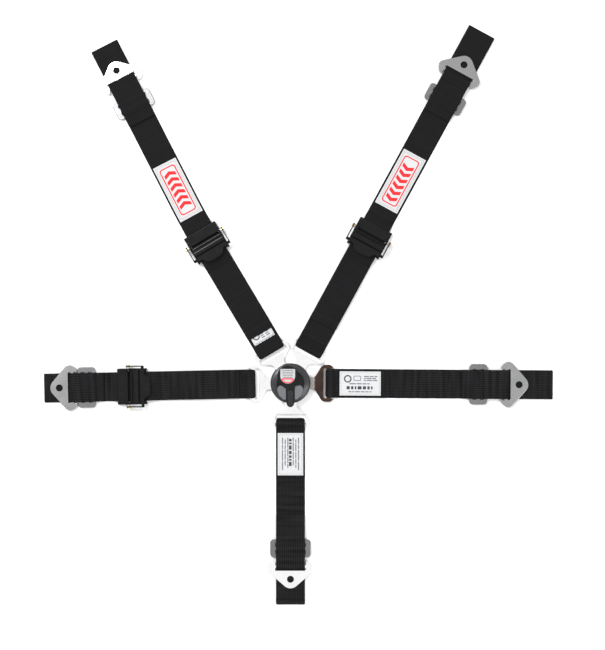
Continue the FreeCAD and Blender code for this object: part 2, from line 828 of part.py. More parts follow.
def make_rivets(label, strap):
    """The two rivets that carry the lever's arms, one on each side wall."""
    pivot, rise = size("RivetForward"), size("RivetHeight")
    inner = size("FrameWidth") / 2 - size("FrameWall")
    outer = size("LeverWidth") / 2 + 0.2
    rivets = []
    for shank_start, head_start in ((inner, outer), (-outer - 1.5, -outer - 1.5)):
        shank = cylinder("rivet_shank", "Sizes.RivetRadius",
                         "Sizes.LeverWidth / 2 + 1.7 - Sizes.FrameWidth / 2 + Sizes.FrameWall",
                         across(pivot, rise, shank_start))
        head = cylinder("rivet_head", "Sizes.RivetRadius + 1.5", "1.5 mm", across(pivot, rise, head_start))
        rivets.append(combine("Part::MultiFuse", "rivet", [shank, head]))
    group = combine("Part::Compound", label, rivets)
    group.Placement = adjuster_frame(strap)
    return group


def make_lever_springs(label, strap):
    """The small coils on the rivets that hold the lever down."""
    wall = size("FrameWidth") / 2 + 0.2
    coils = [
        make_tube("lever_coil", "Sizes.RivetRadius + 1.3", "Sizes.RivetRadius + 0.3", "2.5 mm",
                  across(size("RivetForward"), size("RivetHeight"), start))
        for start in (wall, -wall - 2.5)
    ]
    group = combine("Part::Compound", label, coils)
    group.Placement = adjuster_frame(strap)
    return group


def make_lever(label, strap):
    """The release lever: a cam barrel, a finger tab and two arms that turn on the rivets."""
    body = new_body(label, adjuster_frame(strap))
    pivot, rise = size("RivetForward"), size("RivetHeight")
    tab, half = size("TabHeight"), size("LeverWidth") / 2
    barrel = size("BarrelLength") / 2 - 0.5
    pad(body, circles_on(body, "XZ_Plane", [(0, size("BarrelHeight"), "Sizes.BarrelRadius")]),
        "Sizes.BarrelLength", True)
    plate = mirrored([
        (-3, barrel, 0),
        (-9, barrel, 1),
        (-9, half, 0.5),
        (-14, half, 3),
        (-14, 21, 2),
        (-22, 15, 4),
        (-24, 6, 5),
    ])
    pad(body, sketch_on(body, "XY_Plane", closed_outline(plate), "Sizes.TabHeight"), "Sizes.TabThickness")
    arm = [
        (pivot - 3.8, rise - 3.8, 3.5),
        (pivot + 3.8, rise - 3.8, 3.7),
        (pivot + 3.8, rise + 3.8, 3.7),
        (pivot - 3, rise + 4.5, 3),
        (-8, tab + 3, 2),
        (-13.9, tab + 3, 1),
        (-13.9, tab, 1),
        (-8, tab, 3),
    ]
    for layer in side_offsets((half - 2, half)):
        pad(body, sketch_on(body, "XZ_Plane", closed_outline(arm), layer), "Sizes.ArmThickness")
    pocket(body, circles_on(body, "XZ_Plane", [(pivot, rise, "Sizes.RivetRadius + 0.05")]), "100 mm")
    return body


# ---- the mounting hardware ----


def make_slide(label, strap):
    """The three-bar slide that doubles the strap back on itself."""
    body = new_body(label, outer_frame(strap, along(strap, "Slide")))
    length, width = size("SlideLength") / 2, size("SlideWidth") / 2
    outline = closed_outline(box_corners(-length, length, width, 6))
    pad(body, sketch_on(body, "XY_Plane", outline, "Sizes.SlideBottom"), "Sizes.SlideThickness")
    inner = size("SlideCentreBar") / 2
    outer = inner + size("SlideSlot")
    for low, high in ((-outer, -inner), (inner, outer)):
        slot = closed_outline(box_corners(low, high, size("WebWidth") / 2 + 0.9, 1))
        pocket(body, sketch_on(body, "XY_Plane", slot, "Sizes.SlideBottom"), "20 mm")
    soften(body, size("SlideBottom") + size("SlideThickness"), 0.8)
    return body


def make_bracket(label, strap):
    """The rounded triangular plate that is bolted to the car, with the strap round its bar."""
    body = new_body(label, outer_frame(strap, along(strap, "Bar")))
    bar, slot = size("BracketBar") / 2, size("BracketSlot")
    inside = size("WebWidth") / 2 + 1.8
    outline = mirrored([
        (-bar, inside, 2),
        (-8.8, inside, 1),
        (-8.8, 32.5, 5),
        (5.5, 42.8, 10),
        (43.1, 0, 15.7),
    ])
    pad(body, sketch_on(body, "XY_Plane", closed_outline(outline), "Sizes.BracketBottom"),
        "Sizes.BracketThickness")
    opening = closed_outline(box_corners(bar, bar + slot, inside, 2))
    pocket(body, sketch_on(body, "XY_Plane", opening, "Sizes.BracketBottom"), "20 mm")
    soften(body, size("BracketBottom") + size("BracketThickness"), 0.7)
    hole = [(size("BoltForward"), 0, "Sizes.BoltHoleRadius")]
    pocket(body, circles_on(body, "XY_Plane", hole, "Sizes.BracketBottom"), "20 mm")
    return body


# ---- the whole harness ----


def make_harness():
    """Every piece, in its place, as a list of document objects whose labels are their names."""
    pieces = [
        make_back_plate(),
        make_buckle_body(),
        make_cover(),
        make_center_post(),
        make_screws(),
        make_handle(),
        make_handle_insert(),
        make_cam_ring(),
        make_return_spring(),
        make_lock_pins(),
        make_pin_springs(),
        make_rivet(),
    ]
    for strap in STRAPS:
        pieces.append(make_tongue(f"tongue_{strap}", strap))
        pieces.append(make_slide(f"slide_{strap}", strap))
        pieces.append(make_bracket(f"bracket_{strap}", strap))
    for strap in ADJUSTED:
        pieces.append(make_lower_web(f"lower_web_{strap}", strap))
        pieces.append(make_pull_tail(f"pull_tail_{strap}", strap))
        pieces.append(make_upper_web(f"upper_web_{strap}", strap))
        pieces.append(make_adjuster_frame(f"adjuster_frame_{strap}", strap))
        pieces.append(make_lock_bar(f"lock_bar_{strap}", strap))
        pieces.append(make_rivets(f"lever_rivets_{strap}", strap))
        pieces.append(make_lever_springs(f"lever_springs_{strap}", strap))
        pieces.append(make_lever(f"adjuster_lever_{strap}", strap))
    pieces.append(make_plain_strap("web_lap_right", "lap_right"))
    pieces.append(make_plain_strap("web_crotch", "crotch"))
    on_second = SECOND + WEB / 2
    pieces.append(make_label("label_lap_right", inner_frame("lap_right"), 85, 156, 41.7, on_second))
    pieces.append(make_label("label_crotch", inner_frame("crotch"), 86.5, 159.5, 44, on_second))
    pieces.append(make_label("label_shoulder_left", inner_frame("shoulder_left"), 86, 112, 40, on_second))
    pieces.append(make_label("patch_shoulder_left", outer_frame("shoulder_left"), 335, 438.5, 43.6, WEB))
    pieces.append(make_label("patch_shoulder_right", outer_frame("shoulder_right"), 345, 450, 43, WEB))
    return pieces


def check_document():
    """Stop if any object of the document failed."""
    for item in DOC.Objects:
        if "Invalid" in item.State or "Error" in item.State:
            raise RuntimeError(f"{item.Label} failed: {item.State}")


def export(pieces):
    """Check every piece's solid and write it to its own file."""
    os.makedirs("parts", exist_ok=True)
    for piece in pieces:
        shape = piece.Shape
        if shape.isNull() or not shape.isValid() or not shape.Solids:
            raise RuntimeError(f"{piece.Label} has no valid solid")
        shape.exportStep(f"parts/{piece.Label}.step")


PIECES = make_harness()
DOC.recompute()
check_document()
export(PIECES)
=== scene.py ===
import json
import math

import bmesh
import bpy
from mathutils import Matrix, Vector, noise


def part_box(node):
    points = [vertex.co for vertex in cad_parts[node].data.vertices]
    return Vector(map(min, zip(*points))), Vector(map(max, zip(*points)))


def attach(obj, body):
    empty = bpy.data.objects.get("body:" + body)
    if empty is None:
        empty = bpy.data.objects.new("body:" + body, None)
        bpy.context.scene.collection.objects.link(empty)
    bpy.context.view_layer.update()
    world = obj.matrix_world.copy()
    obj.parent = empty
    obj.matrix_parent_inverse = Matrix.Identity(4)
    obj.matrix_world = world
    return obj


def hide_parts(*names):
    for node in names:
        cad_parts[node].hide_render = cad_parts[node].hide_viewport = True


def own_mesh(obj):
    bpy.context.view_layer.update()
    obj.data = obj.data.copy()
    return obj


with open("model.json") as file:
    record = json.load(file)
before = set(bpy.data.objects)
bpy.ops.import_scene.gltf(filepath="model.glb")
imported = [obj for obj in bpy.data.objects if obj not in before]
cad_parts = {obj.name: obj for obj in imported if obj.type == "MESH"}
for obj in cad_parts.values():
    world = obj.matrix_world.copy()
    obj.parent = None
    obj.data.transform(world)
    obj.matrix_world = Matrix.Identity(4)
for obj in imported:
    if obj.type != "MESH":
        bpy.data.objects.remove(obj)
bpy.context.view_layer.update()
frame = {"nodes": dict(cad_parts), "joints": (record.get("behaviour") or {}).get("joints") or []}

# Five-point racing harness, lying flat. Routes and sizes are in millimetres; the meshes are in metres.
MM = 0.001
UP = Vector((0, 0, 1))
WEB_WIDTH = 50.0
WEB = 1.4                       # the webbing's thickness
FIRST = WEB / 2                 # heights of the middle of the first and second layer on the floor
LAYER = WEB + 0.3
SECOND = FIRST + LAYER
RIB_PITCH = 3.1
WEFT_PITCH = 1.1
TONGUE_LOOP = 4.6               # the loop's radius round a tongue's bar
JOINTS = {joint["name"]: joint for joint in frame["joints"]}
ADJUSTED = ["shoulder_left", "shoulder_right", "lap_left"]
PLAIN = ["lap_right", "crotch"]
# how far each strap's inner fold lies from the middle of its slide
FOLD_GAP = {
    "shoulder_left": 33.0,
    "shoulder_right": 31.5,
    "lap_left": 30.0,
    "lap_right": 30.0,
    "crotch": 58.9,
}


# ---- where the straps run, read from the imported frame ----


def joint_line(name):
    """A strap hinge's point in millimetres, and the outward direction of the strap there."""
    joint = JOINTS[name]
    return Vector(joint["pos_m"]) / MM, UP.cross(Vector(joint["axis"])).normalized()


def reach(node, origin, direction):
    """How far a node reaches along a direction from a point: nearest and farthest, in millimetres."""
    spans = [(vertex.co / MM - origin).dot(direction) for vertex in frame["nodes"][node].data.vertices]
    return min(spans), max(spans)


class Strap:
    """One strap's course on the floor: straight, or two straight runs joined by a gentle bend."""

    BEND = 34.0                 # how far the bend reaches either side of its corner
    BARREL_BEYOND_BAR = 14.0    # from an adjuster's fixed bar to its cam barrel

    def __init__(self, name):
        self.name = name
        # the lap and crotch straps take the webbing with the stronger painted crease sheen
        self.cloth = "webbing" if name.startswith("shoulder") else "creased"
        tongue, self.inner = joint_line(f"strap_swing_{name}")
        bar, self.outer = joint_line(f"bracket_swing_{name}")
        bar.z = 0
        self.tongue_bar = tongue.xy.length
        turn = self.inner.cross(self.outer).z
        # the outer run passes through the bracket's bar; where it crosses the inner run is the bend
        self.bend_at = bar.cross(self.outer).z / turn if abs(turn) > 1e-4 else 0.0
        self.corner = self.inner * self.bend_at
        self.bar = self.bend_at + (bar - self.corner).dot(self.outer)
        web = f"upper_web_{name}" if name in ADJUSTED else f"web_{name}"
        self.end = self.bend_at + reach(web, self.corner, self.outer)[1]
        self.slide = self.bend_at + sum(reach(f"slide_{name}", self.corner, self.outer)) / 2
        self.fold = self.slide - FOLD_GAP[name]
        if name in ADJUSTED:
            fixed_bar, _ = joint_line(f"adjuster_swing_{name}")
            self.barrel = fixed_bar.xy.length + self.BARREL_BEYOND_BAR
            self.tail = reach(f"pull_tail_{name}", Vector(), self.inner)[0]

    def plan(self, s):
        """The course's point and direction on the floor at a distance from the buckle."""
        if not self.bend_at or s <= self.bend_at - self.BEND:
            return self.inner * s, self.inner
        if s >= self.bend_at + self.BEND:
            return self.corner + self.outer * (s - self.bend_at), self.outer
        t = (s - self.bend_at + self.BEND) / (2 * self.BEND)
        start = self.corner - self.inner * self.BEND
        end = self.corner + self.outer * self.BEND
        place = start * (1 - t) ** 2 + self.corner * 2 * t * (1 - t) + end * t ** 2
        return place, self.inner.lerp(self.outer, t).normalized()

    def place(self, s, w, z):
        """A point at a distance s, w across to the left and z up, in metres."""
        point, direction = self.plan(s)
        side = UP.cross(direction)
        return (point + side * w + UP * z) * MM


STRAPS = {name: Strap(name) for name in ADJUSTED + PLAIN}


# ---- materials ----


class Shader:
    """A small helper that builds a material's node tree."""

    def __init__(self, name):
        self.material = bpy.data.materials.new(name)
        self.material.use_nodes = True
        self.tree = self.material.node_tree
        self.surface = self.tree.nodes["Principled BSDF"]

    def node(self, kind, **settings):
        item = self.tree.nodes.new(kind)
        for key, value in settings.items():
            setattr(item, key, value)
        return item

    def link(self, source, target):
        self.tree.links.new(source, target)

    def math(self, operation, first, second=None, clamp=False):
        """A math node's output; each input is a number or another output."""
        item = self.node("ShaderNodeMath", operation=operation, use_clamp=clamp)
        for socket, value in zip(item.inputs, (first, second)):
            if value is None:
                continue
            if isinstance(value, (int, float)):
                socket.default_value = value
            else:
                self.link(value, socket)
        return item.outputs[0]

    def mix(self, factor, first, second):
        """A colour between two colours."""
        item = self.node("ShaderNodeMix", data_type="RGBA")
        for socket, value in ((item.inputs[0], factor), (item.inputs[6], first), (item.inputs[7], second)):
            if isinstance(value, tuple):
                socket.default_value = (*value, 1)
            elif isinstance(value, (int, float)):
                socket.default_value = value
            else:
                self.link(value, socket)
        return item.outputs[2]

    def position(self):
        """The surface point in the piece's own space."""
        return self.node("ShaderNodeTexCoord").outputs["Object"]

    def across_and_along(self):
        """A piece's own flat coordinates in millimetres: across, then along."""
        attribute = self.node("ShaderNodeAttribute", attribute_name="flat_mm")
        split = self.node("ShaderNodeSeparateXYZ")
        self.link(attribute.outputs["Vector"], split.inputs[0])
        return split.outputs[0], split.outputs[1]

    def noise(self, scale, detail=3.0, vector=None):
        item = self.node("ShaderNodeTexNoise")
        item.inputs["Scale"].default_value = scale
        item.inputs["Detail"].default_value = detail
        self.link(vector if vector else self.position(), item.inputs["Vector"])
        return item.outputs["Fac"]

    def ramp(self, value, low, high):
        """A value stretched so that its usual range runs from low to high."""
        item = self.node("ShaderNodeMapRange")
        item.inputs["From Min"].default_value = 0.3
        item.inputs["From Max"].default_value = 0.7
        item.inputs["To Min"].default_value = low
        item.inputs["To Max"].default_value = high
        self.link(value, item.inputs["Value"])
        return item.outputs[0]

    def bump(self, height, depth_mm, strength=1.0):
        item = self.node("ShaderNodeBump")
        item.inputs["Strength"].default_value = strength
        item.inputs["Distance"].default_value = depth_mm * MM
        self.link(height, item.inputs["Height"])
        self.link(item.outputs[0], self.surface.inputs["Normal"])

def webbing_material(name, crease_sheen_strength):
    """Black polyester webbing: lengthwise ribs crossed by the weft, with painted highlight on the rib crests
    and painted shade in the grooves.

    The second argument sets how light the painted sheen on its crosswise creases is.
    """
    shader = Shader(name)
    across, along = shader.across_and_along()
    ribs = shader.math("SINE", shader.math("MULTIPLY", across, 2 * math.pi / RIB_PITCH))
    shift = shader.math("MULTIPLY", ribs, 1.2)
    turns = shader.math("MULTIPLY", along, 2 * math.pi / WEFT_PITCH)
    weft = shader.math("SINE", shader.math("ADD", turns, shift))
    height = shader.math("ADD", ribs, shader.math("MULTIPLY", weft, 0.3))
    shader.bump(height, 0.16, 0.9)
    cloud = shader.ramp(shader.noise(38.0, 4.0), 0.0, 1.0)
    # painted highlight and shade: the colour is lighter on the rib crests and darker in the grooves between
    # them
    light = shader.math("MULTIPLY", shader.math("ADD", ribs, 1.0), 0.28)
    creases = shader.node("ShaderNodeCombineXYZ")
    shader.link(shader.math("MULTIPLY", across, 0.012), creases.inputs[0])
    shader.link(shader.math("MULTIPLY", along, 0.16), creases.inputs[1])
    # painted sheen: soft lighter streaks across the strap stand in for light catching its crosswise creases
    painted_crease_sheen = shader.ramp(shader.noise(1.0, 2.5, creases.outputs[0]), -0.5 * crease_sheen_strength, crease_sheen_strength)
    amount = shader.math("ADD", light, shader.math("MULTIPLY", cloud, 0.12))
    amount = shader.math("ADD", amount, painted_crease_sheen, clamp=True)
    colour = shader.mix(amount, (0.0010, 0.0010, 0.0012), (0.0190, 0.0190, 0.0205))
    shader.link(colour, shader.surface.inputs["Base Color"])
    shader.link(shader.ramp(cloud, 0.58, 0.72), shader.surface.inputs["Roughness"])
    shader.surface.inputs["Specular IOR Level"].default_value = 0.07
    shader.surface.inputs["Sheen Weight"].default_value = 0.03
    shader.surface.inputs["Sheen Roughness"].default_value = 0.4
    return shader.material


def metal_material(name, colour, roughness, wear=0.06, grain=900.0, depth=0.02):
    """Plated steel with a fine grain and faint smudges."""
    shader = Shader(name)
    smudge = shader.noise(55.0, 5.0)
    fine = shader.noise(grain, 2.0)
    shader.link(shader.ramp(smudge, roughness - wear, roughness + wear), shader.surface.inputs["Roughness"])
    dark = tuple(channel * 0.93 for channel in colour)
    shader.link(shader.mix(shader.ramp(smudge, 0.0, 1.0), colour, dark), shader.surface.inputs["Base Color"])
    shader.surface.inputs["Metallic"].default_value = 1.0
    shader.bump(fine, depth, 0.5)
    return shader.material


def paint_material(name, colour, roughness, coat=0.0, grain=700.0, depth=0.03, shine=0.3):
    """A painted or moulded surface with a fine texture."""
    shader = Shader(name)
    smudge = shader.noise(70.0, 4.0)
    fine = shader.noise(grain, 3.0)
    shader.link(shader.ramp(smudge, roughness - 0.05, roughness + 0.07), shader.surface.inputs["Roughness"])
    bright = tuple(min(1.0, channel * 1.25) for channel in colour)
    shader.link(shader.mix(shader.ramp(fine, 0.0, 1.0), colour, bright), shader.surface.inputs["Base Color"])
    shader.surface.inputs["Specular IOR Level"].default_value = shine
    shader.surface.inputs["Coat Weight"].default_value = coat
    shader.surface.inputs["Coat Roughness"].default_value = 0.12
    shader.bump(fine, depth, 0.5)
    return shader.material


def dark_tongue_material():
    """Dark brown plating that gives way to bright steel on the neck, next to the buckle."""
    plating_start = 44.5 * MM
    shader = Shader("dark_tongue")
    split = shader.node("ShaderNodeSeparateXYZ")
    shader.link(shader.position(), split.inputs[0])
    edge = shader.math("ADD", split.outputs[0], shader.math("MULTIPLY", shader.noise(160.0), 0.003))
    worn = shader.math("MULTIPLY", shader.math("SUBTRACT", plating_start, edge), 400.0, clamp=True)
    smudge = shader.ramp(shader.noise(55.0, 5.0), 0.0, 1.0)
    plating = shader.mix(smudge, (0.085, 0.052, 0.040), (0.040, 0.028, 0.025))
    shader.link(shader.mix(worn, plating, (0.34, 0.315, 0.30)), shader.surface.inputs["Base Color"])
    shader.surface.inputs["Metallic"].default_value = 1.0
    shader.link(shader.ramp(shader.noise(90.0, 4.0), 0.2, 0.32), shader.surface.inputs["Roughness"])
    shader.bump(shader.noise(900.0, 2.0), 0.02, 0.5)
    return shader.material


MATERIALS = {
    # the number is the strength of the painted sheen on the crosswise creases
    "webbing": webbing_material("webbing", 0.06),
    "creased": webbing_material("webbing_crease_sheen", 0.34),
    "thread": paint_material("thread", (0.011, 0.011, 0.012), 0.6, shine=0.15),
    # bright chrome for the tongues, also given to two brackets as a painted lit copy of their satin finish
    "chrome_and_lit_bracket": metal_material("chrome_steel", (0.97, 0.97, 0.975), 0.10, wear=0.03, depth=0.004),
    "satin": metal_material("satin_steel", (0.315, 0.32, 0.315), 0.27, 0.05, grain=420.0, depth=0.045),
    "slide": metal_material("slide_steel", (0.20, 0.20, 0.205), 0.30, depth=0.03),
    "dark_tongue": dark_tongue_material(),
    "black_steel": paint_material("black_steel", (0.0045, 0.0045, 0.005), 0.22, shine=0.16),
    "brass": metal_material("brass", (0.78, 0.57, 0.25), 0.28, depth=0.01),
    "cover": paint_material("cover_black", (0.019, 0.0195, 0.0215), 0.27, shine=0.42),
    "rim": paint_material("cover_rim", (0.004, 0.004, 0.0045), 0.30, shine=0.2),
    "stalk": paint_material("handle_stalk", (0.0075, 0.008, 0.009), 0.24, shine=0.4),
    "pad": paint_material("handle_pad", (0.105, 0.108, 0.115), 0.5, grain=450.0),
    "badge": paint_material("badge_white", (0.40, 0.405, 0.415), 0.32, coat=0.3, depth=0.006),
    "badge_grey": paint_material("badge_grey", (0.055, 0.058, 0.066), 0.35, coat=0.3),
    "red_ink": paint_material("red_ink", (0.68, 0.018, 0.016), 0.55),
    "red_thread": paint_material("red_thread", (0.52, 0.014, 0.018), 0.7, grain=1500.0),
    "label": paint_material("label_white", (0.47, 0.475, 0.482), 0.7, grain=1500.0, depth=0.05),
    "label_thread": paint_material("label_thread", (0.25, 0.245, 0.24), 0.75, grain=1500.0),
    "ink": paint_material("label_ink", (0.035, 0.036, 0.042), 0.6),
    "grey_ink": paint_material("label_grey_ink", (0.11, 0.115, 0.13), 0.6),
    "inner": metal_material("inner_steel", (0.50, 0.50, 0.51), 0.3, depth=0.01),
}


# ---- mesh helpers ----


def smooth_shade(mesh, limit):
    """Smooth shading, with open edges and those that turn by more than the limit kept crisp."""
    data = bmesh.new()
    data.from_mesh(mesh)
    for face in data.faces:
        face.smooth = True
    for edge in data.edges:
        edge.smooth = len(edge.link_faces) == 2 and edge.calc_face_angle(0.0) < limit
    data.to_mesh(mesh)
    data.free()


class Shape:
    """Points and faces gathered for one mesh.

    Points are in metres; flat holds each point's flat coordinates in millimetres: across, then along.
    """

    def __init__(self):
        self.points = []
        self.faces = []
        self.flat = []

    def add(self, points, faces, flat=None):
        base = len(self.points)
        self.points += points
        self.faces += [tuple(index + base for index in face) for face in faces]
        self.flat += flat or [(0, 0, 0)] * len(points)

    def finish(self, name, material, body, slot=None, smooth=35.0):
        """The mesh object, which rides a body; edges sharper than smooth degrees stay crisp."""
        mesh = bpy.data.meshes.new(name)
        mesh.from_pydata([tuple(point) for point in self.points], [], self.faces)
        mesh.update()
        layer = mesh.attributes.new("flat_mm", "FLOAT_VECTOR", "POINT")
        layer.data.foreach_set("vector", [value for point in self.flat for value in point])
        mesh.materials.append(MATERIALS[material])
        smooth_shade(mesh, math.radians(smooth))
        piece = bpy.data.objects.new(name, mesh)
        bpy.context.scene.collection.objects.link(piece)
        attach(piece, body)
        return piece


def ring_faces(rings, count):
    """Faces joining rings of count points each into a tube with closed ends."""
    faces = []
    for first in range(0, (rings - 1) * count, count):
        for index in range(count):
            following = (index + 1) % count
            faces.append((first + index, first + following, first + count + following, first + count + index))
    faces.append(tuple(reversed(range(count))))
    faces.append(tuple(range((rings - 1) * count, rings * count)))
    return faces


def tube(shape, centres, radius, sides=6):
    """A round tube along a list of points in metres."""
    points = []
    for index, centre in enumerate(centres):
        before = centres[max(index - 1, 0)]
        after = centres[min(index + 1, len(centres) - 1)]
        heading = (after - before).normalized()
        side = heading.cross(UP)
        side = side.normalized() if side.length > 1e-6 else Vector((1, 0, 0))
        rise = side.cross(heading)
        for step in range(sides):
            angle = 2 * math.pi * step / sides
            points.append(centre + (side * math.cos(angle) + rise * math.sin(angle)) * radius * MM)
    shape.add(points, ring_faces(len(centres), sides))


def arc(centre, radius, first, last, steps):
    """Points on an arc in a plane, in degrees from first to last."""
    angles = [math.radians(first + (last - first) * step / steps) for step in range(steps + 1)]
    return [(centre[0] + radius * math.cos(angle), centre[1] + radius * math.sin(angle)) for angle in angles]


def band(centre, outer, inner, first, last, steps):
    """The outline of a curved band between two radii."""
    return arc(centre, outer, first, last, steps) + arc(centre, inner, last, first, steps)


def rounded(corners, steps=8):
    """A closed outline whose corners (x, y, radius) are rounded with arcs."""
    outline = []
    count = len(corners)
    for index, (x, y, radius) in enumerate(corners):
        here = Vector((x, y))
        if radius <= 0:
            outline.append((x, y))
            continue
        before = (Vector(corners[index - 1][:2]) - here).normalized()
        after = (Vector(corners[(index + 1) % count][:2]) - here).normalized()
        half = before.angle(after) / 2
        centre = here + (before + after).normalized() * (radius / math.sin(half))
        start = here + before * (radius / math.tan(half)) - centre
        turn = start.angle_signed(here + after * (radius / math.tan(half)) - centre)
        for step in range(steps + 1):
            spun = Matrix.Rotation(-turn * step / steps, 2) @ start
            outline.append(tuple(centre + spun))
    return outline


def prism(shape, outline, low, high, place, bevel=0.0, holes=()):
    """A plate: an outline (x, y) in millimetres between two heights, with rounded-over edges.

    place turns (x, y, z) into a point in metres. Holes are outlines, each cut straight through.
    """
    data = bmesh.new()
    edges = []
    for loop in (outline, *holes):
        corners = [data.verts.new((x, y, low)) for x, y in loop]
        edges += [data.edges.new((corners[i - 1], corners[i])) for i in range(len(corners))]
    bmesh.ops.triangle_fill(data, use_beauty=True, use_dissolve=False, edges=edges)
    bmesh.ops.dissolve_limit(data, angle_limit=0.01, verts=data.verts, edges=data.edges)
    lower = list(data.faces)
    for face in lower:
        if face.normal.z < 0:
            face.normal_flip()
    grown = bmesh.ops.extrude_face_region(data, geom=lower, use_keep_orig=True)
    for item in grown["geom"]:
        if isinstance(item, bmesh.types.BMVert):
            item.co.z = high
    for face in lower:
        face.normal_flip()
    bmesh.ops.recalc_face_normals(data, faces=data.faces)
    if bevel:
        sharp = [edge for edge in data.edges if edge.calc_face_angle(0.0) > 1.0]
        bmesh.ops.bevel(data, geom=sharp, offset=bevel, segments=3, affect="EDGES", clamp_overlap=True)
    data.verts.index_update()
    points = [place(*vertex.co) for vertex in data.verts]
    flat = [tuple(vertex.co) for vertex in data.verts]
    faces = [tuple(vertex.index for vertex in face.verts) for face in data.faces]
    data.free()
    shape.add(points, faces, flat)


# ---- webbing ----


def trace(route, step=5.0, tightest=0.75):
    """Points (x, z) along a route whose corners (x, z, radius) are rounded, with the way run so far."""
    points = [Vector(route[0][:2])]
    for index in range(1, len(route) - 1):
        x, z, radius = route[index]
        here = Vector((x, z))
        before = (Vector(route[index - 1][:2]) - here).normalized()
        after = (Vector(route[index + 1][:2]) - here).normalized()
        opening = before.angle(after)
        if math.pi - opening < 0.01:
            points.append(here)
            continue
        radius = max(radius, tightest)
        back = radius / math.tan(opening / 2)
        start, finish = here + before * back, here + after * back
        centre = here + (before + after).normalized() * (radius / math.sin(opening / 2))
        sweep = (start - centre).angle_signed(finish - centre)
        steps = max(2, math.ceil(abs(sweep) / math.radians(20)))
        for number in range(steps + 1):
            points.append(centre + Matrix.Rotation(-sweep * number / steps, 2) @ (start - centre))
    points.append(Vector(route[-1][:2]))
    filled, run = [(points[0], 0.0)], 0.0
    for first, second in zip(points, points[1:]):
        length = (second - first).length
        if length < 1e-5:
            continue
        parts = max(1, math.ceil(length / step))
        for part in range(1, parts + 1):
            filled.append((first.lerp(second, part / parts), run + length * part / parts))
        run += length
    return filled, run


def cross_section(columns=26, selvedge=1.2):
    """The webbing's section: points (across, up) round its edge, thinner at its two selvedges."""
    half = WEB_WIDTH / 2
    top = []
    for column in range(columns + 1):
        across = (2 * column / columns - 1) * half
        inside = min(half - abs(across), selvedge) / selvedge
        rise = math.sqrt(max(0.0, 1 - (1 - inside) ** 2))
        top.append((across, WEB / 2 * max(rise, 0.15)))
    return top + [(across, -rise) for across, rise in reversed(top)]


def corner_shrink(s, inner, radius=5.5):
    """How much narrower the webbing is near its pulled-in corners at a loop's inner end."""
    inside = radius - max(0.0, s - inner)
    if inside <= 0:
        return 0.0
    return radius - math.sqrt(max(0.0, radius ** 2 - min(inside, radius * 0.97) ** 2))


def ribbon(shape, strap, route, settle=None, inner=None):
    """A strip of webbing along a route; settle(s, across, z) gives how far the cloth lifts there.

    inner is where the loop round the tongue's bar ends, whose corners are pulled in.
    """
    centres, length = trace(route)
    section = cross_section()
    points, flat = [], []
    for index, (centre, run) in enumerate(centres):
        before = centres[max(index - 1, 0)][0]
        after = centres[min(index + 1, len(centres) - 1)][0]
        heading = (after - before).normalized()
        normal = Vector((-heading.y, heading.x))
        if heading.x < 0:
            normal = -normal
        shrink = corner_shrink(centre.x, inner) if inner else 0.0
        for across, rise in section:
            across *= 1 - 2 * shrink / WEB_WIDTH
            lift = settle(centre.x, across, centre.y) if settle else 0.0
            spot = centre + normal * (rise + lift)
            points.append(strap.place(spot.x, across, max(spot.y, 0.02)))
            flat.append((across, run, rise))
    shape.add(points, ring_faces(len(centres), len(section)), flat)
    return length


def swell(s, low, high, over):
    """A factor that is 1 between two distances and fades to 0 near them."""
    return max(0.0, min(1.0, (s - low) / over, (high - s) / over))


def tongue_loop(bar, tail_end):
    """The sewn-back tail, over the tongue's bar and back under it to the floor."""
    top = FIRST + 2 * TONGUE_LOOP
    return [
        (tail_end, SECOND),
        (bar + 18.5, SECOND, 8),
        (bar + 3, top, 3),
        (bar - TONGUE_LOOP, top, TONGUE_LOOP),
        (bar - TONGUE_LOOP, FIRST, TONGUE_LOOP),
    ]


def mounting_end(strap):
    """Through the slide, round the bracket's bar, over the whole slide and back into it."""
    slide, bar = strap.slide, strap.bar + 4.7
    fold, end = strap.fold + WEB / 2, strap.end - WEB / 2
    # half the way over the slide's middle bar, for the inner and the outer layer
    near = 4.5
    far = near + LAYER
    # heights: over that bar, the free end under the bracket, back over the bracket's bar, and the fold
    over, free, back, folded = 6.9, 3.1, 10.3, 5.0
    tight = 1.2
    return [
        (slide - near, FIRST, tight),
        (slide - near, over, tight),
        (slide + near, over, tight),
        (slide + near, FIRST, tight),
        (end, FIRST, tight),
        (end, free, tight),
        (bar, free, tight),
        (bar, back, 4),
        (slide - 7.5, back, 8),
        (fold + 7.3, folded, 10),
        (fold, folded, 1.3),
        (fold, SECOND, 1.3),
        (slide - far, SECOND, tight),
        (slide - far, over + LAYER, 1.5),
        (slide + far, over + LAYER, 1.5),
        (slide + far, SECOND, tight),
        (slide + 19, SECOND),
    ]


def ripple(low, high, height, pitch, seed):
    """Soft crosswise waves between two distances; the cloth only ever lifts."""
    over_the_slide = 9.0

    def lift(s, across, z):
        fade = swell(s, low, high, 16.0)
        if fade == 0.0 or z > over_the_slide:
            return 0.0
        drift = noise.noise(Vector((s / 26.0, across / 60.0, seed)))
        crest = math.sin(2 * math.pi * s / pitch + 2.5 * drift + across / 40.0)
        return fade * height * (0.5 + 0.5 * crest) * (0.75 + 0.5 * drift)

    return lift


def stitches(shape, strap, marks, radius=0.34):
    """Short thread stitches, each from one (s, across, z) point to the next."""
    for first, second in marks:
        start, finish = strap.place(*first), strap.place(*second)
        thread = []
        for share, rise in ((0, -0.5), (0.2, 0.88), (0.5, 1.1), (0.8, 0.88), (1, -0.5)):
            thread.append(start.lerp(finish, share) + UP * (rise * radius * MM))
        tube(shape, thread, radius)


